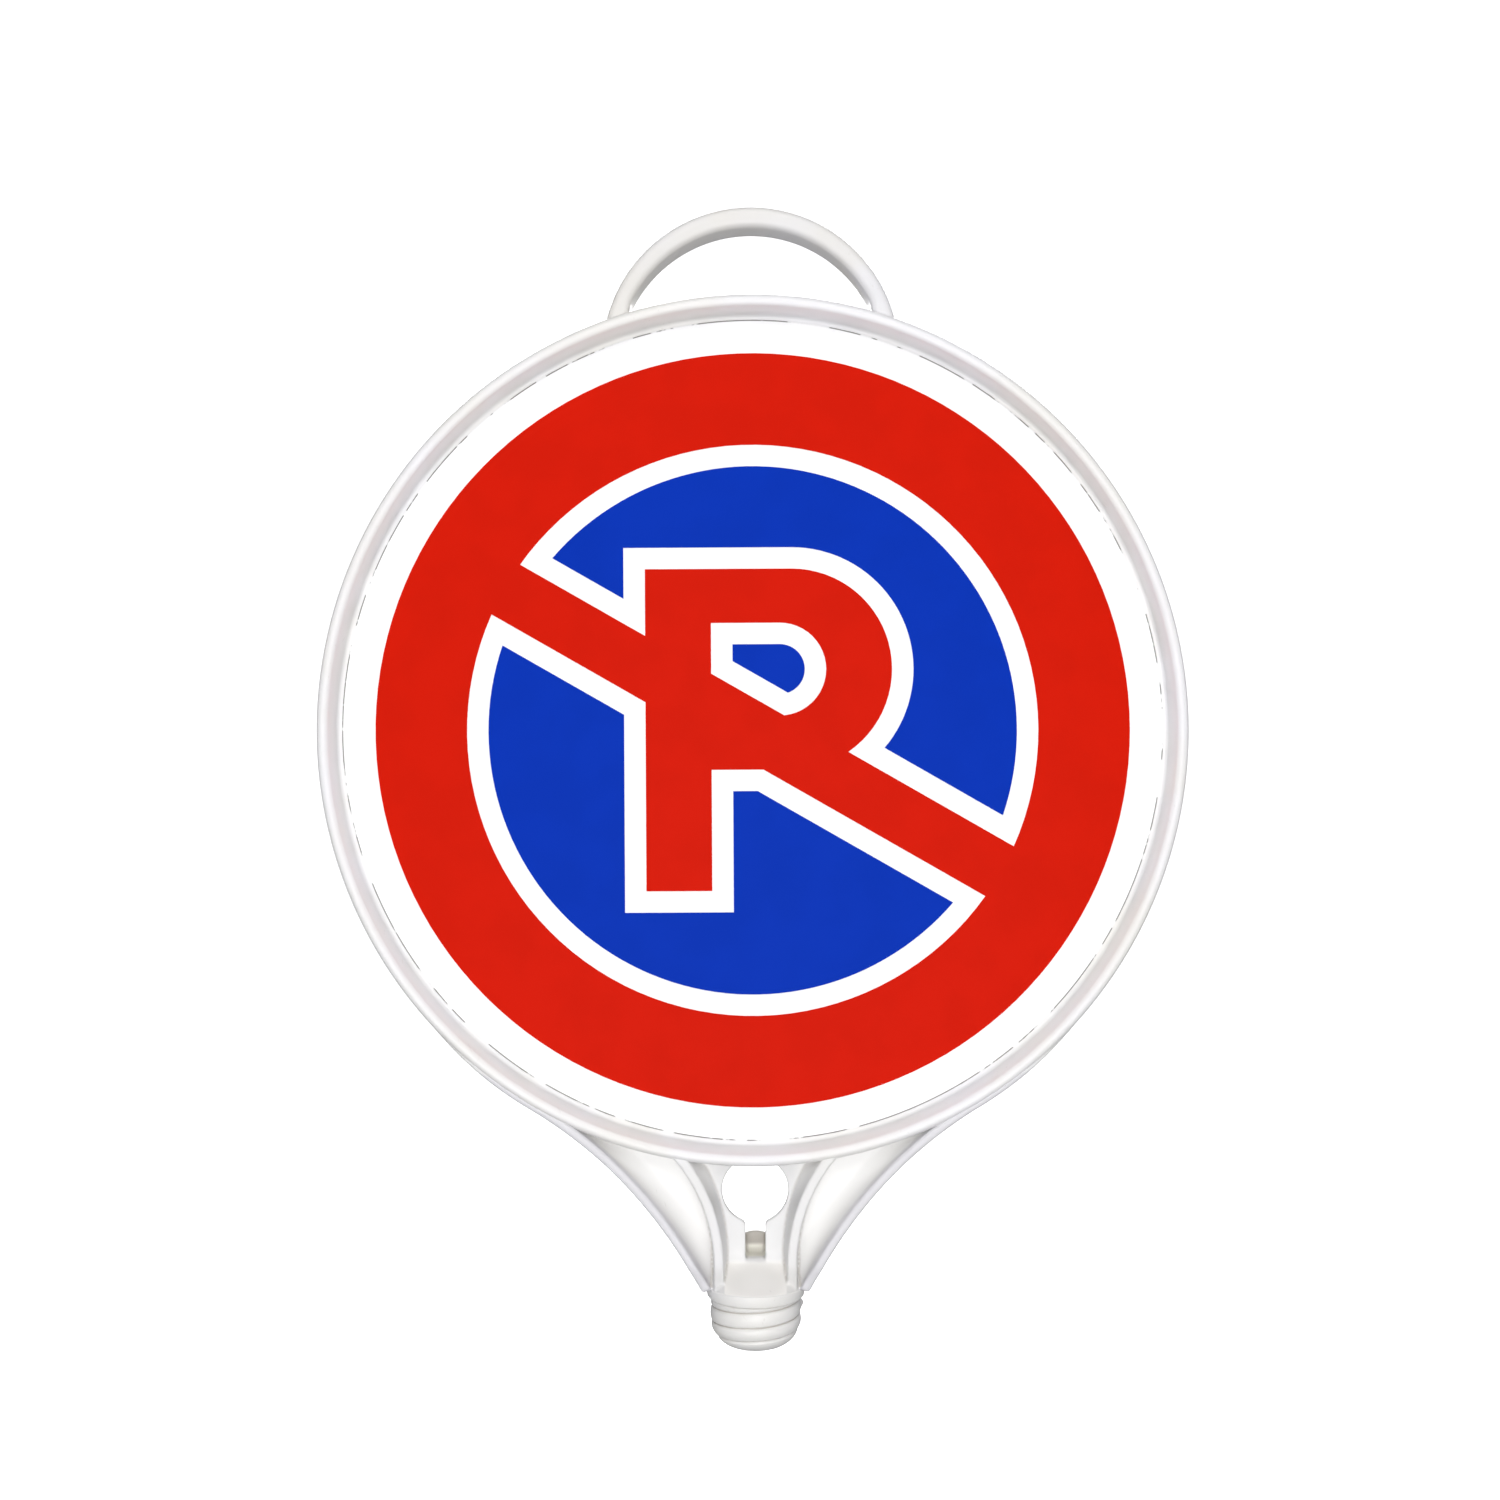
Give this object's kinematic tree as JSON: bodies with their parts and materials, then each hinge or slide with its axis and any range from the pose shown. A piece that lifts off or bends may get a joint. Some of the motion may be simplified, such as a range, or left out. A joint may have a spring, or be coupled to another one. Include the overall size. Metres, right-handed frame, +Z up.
{
  "type": "screw-in traffic sign head",
  "caption": "Round parking-restriction sign head in white plastic, with a carrying handle on top and a ribbed neck that ends in a threaded spigot for the top of a post.",
  "frame": {"origin": "centre of the flat underside of the collar, where it seats on the post's mouth, on the spigot's axis", "axes": "+Z up along the spigot's axis, away from the post; the printed front faces -Y; +X to the right of a person who reads the sign"},
  "size_m": [0.3, 0.035, 0.394],
  "materials": {
    "white_plastic": "satin moulded, slightly off-white",
    "white_sheeting": "smooth white sheeting",
    "red_film": "smooth coloured film",
    "blue_film": "smooth coloured film"
  },
  "bodies": {
    "root": {"face_panel": "white_plastic", "rim": "white_plastic", "carry_handle": "white_plastic", "shoulder_collar": "white_plastic", "threaded_spigot": "white_plastic", "left_flange": "white_plastic", "left_rib": "white_plastic", "left_panel": "white_plastic", "right_flange": "white_plastic", "right_rib": "white_plastic", "right_panel": "white_plastic", "keyhole_web": "white_plastic", "front_sheeting": "white_sheeting", "red_film": "red_film", "blue_upper_field": "blue_film", "blue_lower_field": "blue_film", "blue_counter": "blue_film"}
  },
  "joints": []
}
